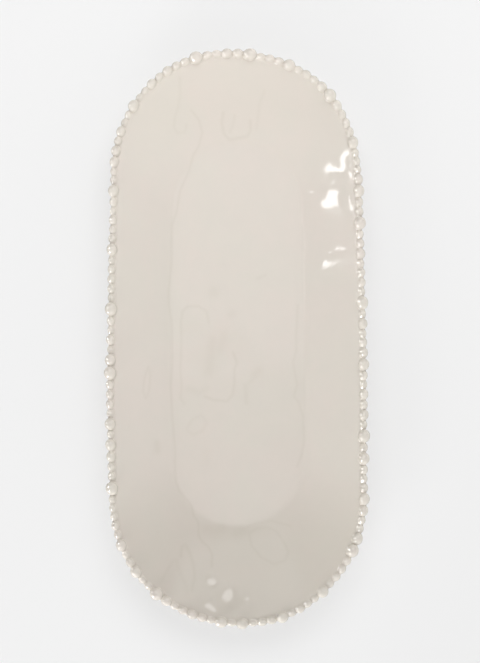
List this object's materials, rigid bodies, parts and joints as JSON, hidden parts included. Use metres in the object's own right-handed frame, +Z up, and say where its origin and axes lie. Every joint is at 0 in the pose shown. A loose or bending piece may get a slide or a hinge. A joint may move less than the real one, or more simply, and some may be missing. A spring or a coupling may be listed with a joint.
{
  "type": "asparagus plate",
  "caption": "Long oval glazed stoneware serving plate with a flat well, flaring walls and a strand of clay beads pressed all round its rim, on a low foot ring.",
  "frame": {"origin": "on the table plane under the middle of the plate's outline", "axes": "+X to the plate's right, +Y along its length to the far end, +Z up"},
  "size_m": [0.2035, 0.4423, 0.0345],
  "materials": {
    "glaze": "warm off-white glossy glaze, slightly wavy",
    "bead_glaze": "warm off-white glossy glaze over hand-rolled beads",
    "bare_clay": "unglazed fired stoneware, fine and matt"
  },
  "bodies": {
    "root": {"dish": "glaze", "foot_ring": "bare_clay", "far_end_tiny_beads": "bead_glaze", "far_end_small_beads": "bead_glaze", "far_end_medium_beads": "bead_glaze", "far_end_large_beads": "bead_glaze", "far_end_extra_large_beads": "bead_glaze", "right_side_tiny_beads": "bead_glaze", "right_side_small_beads": "bead_glaze", "right_side_medium_beads": "bead_glaze", "right_side_large_beads": "bead_glaze", "right_side_extra_large_beads": "bead_glaze", "near_end_tiny_beads": "bead_glaze", "near_end_small_beads": "bead_glaze", "near_end_medium_beads": "bead_glaze", "near_end_large_beads": "bead_glaze", "near_end_extra_large_beads": "bead_glaze", "left_side_tiny_beads": "bead_glaze", "left_side_small_beads": "bead_glaze", "left_side_medium_beads": "bead_glaze", "left_side_large_beads": "bead_glaze", "left_side_extra_large_beads": "bead_glaze"}
  },
  "joints": []
}
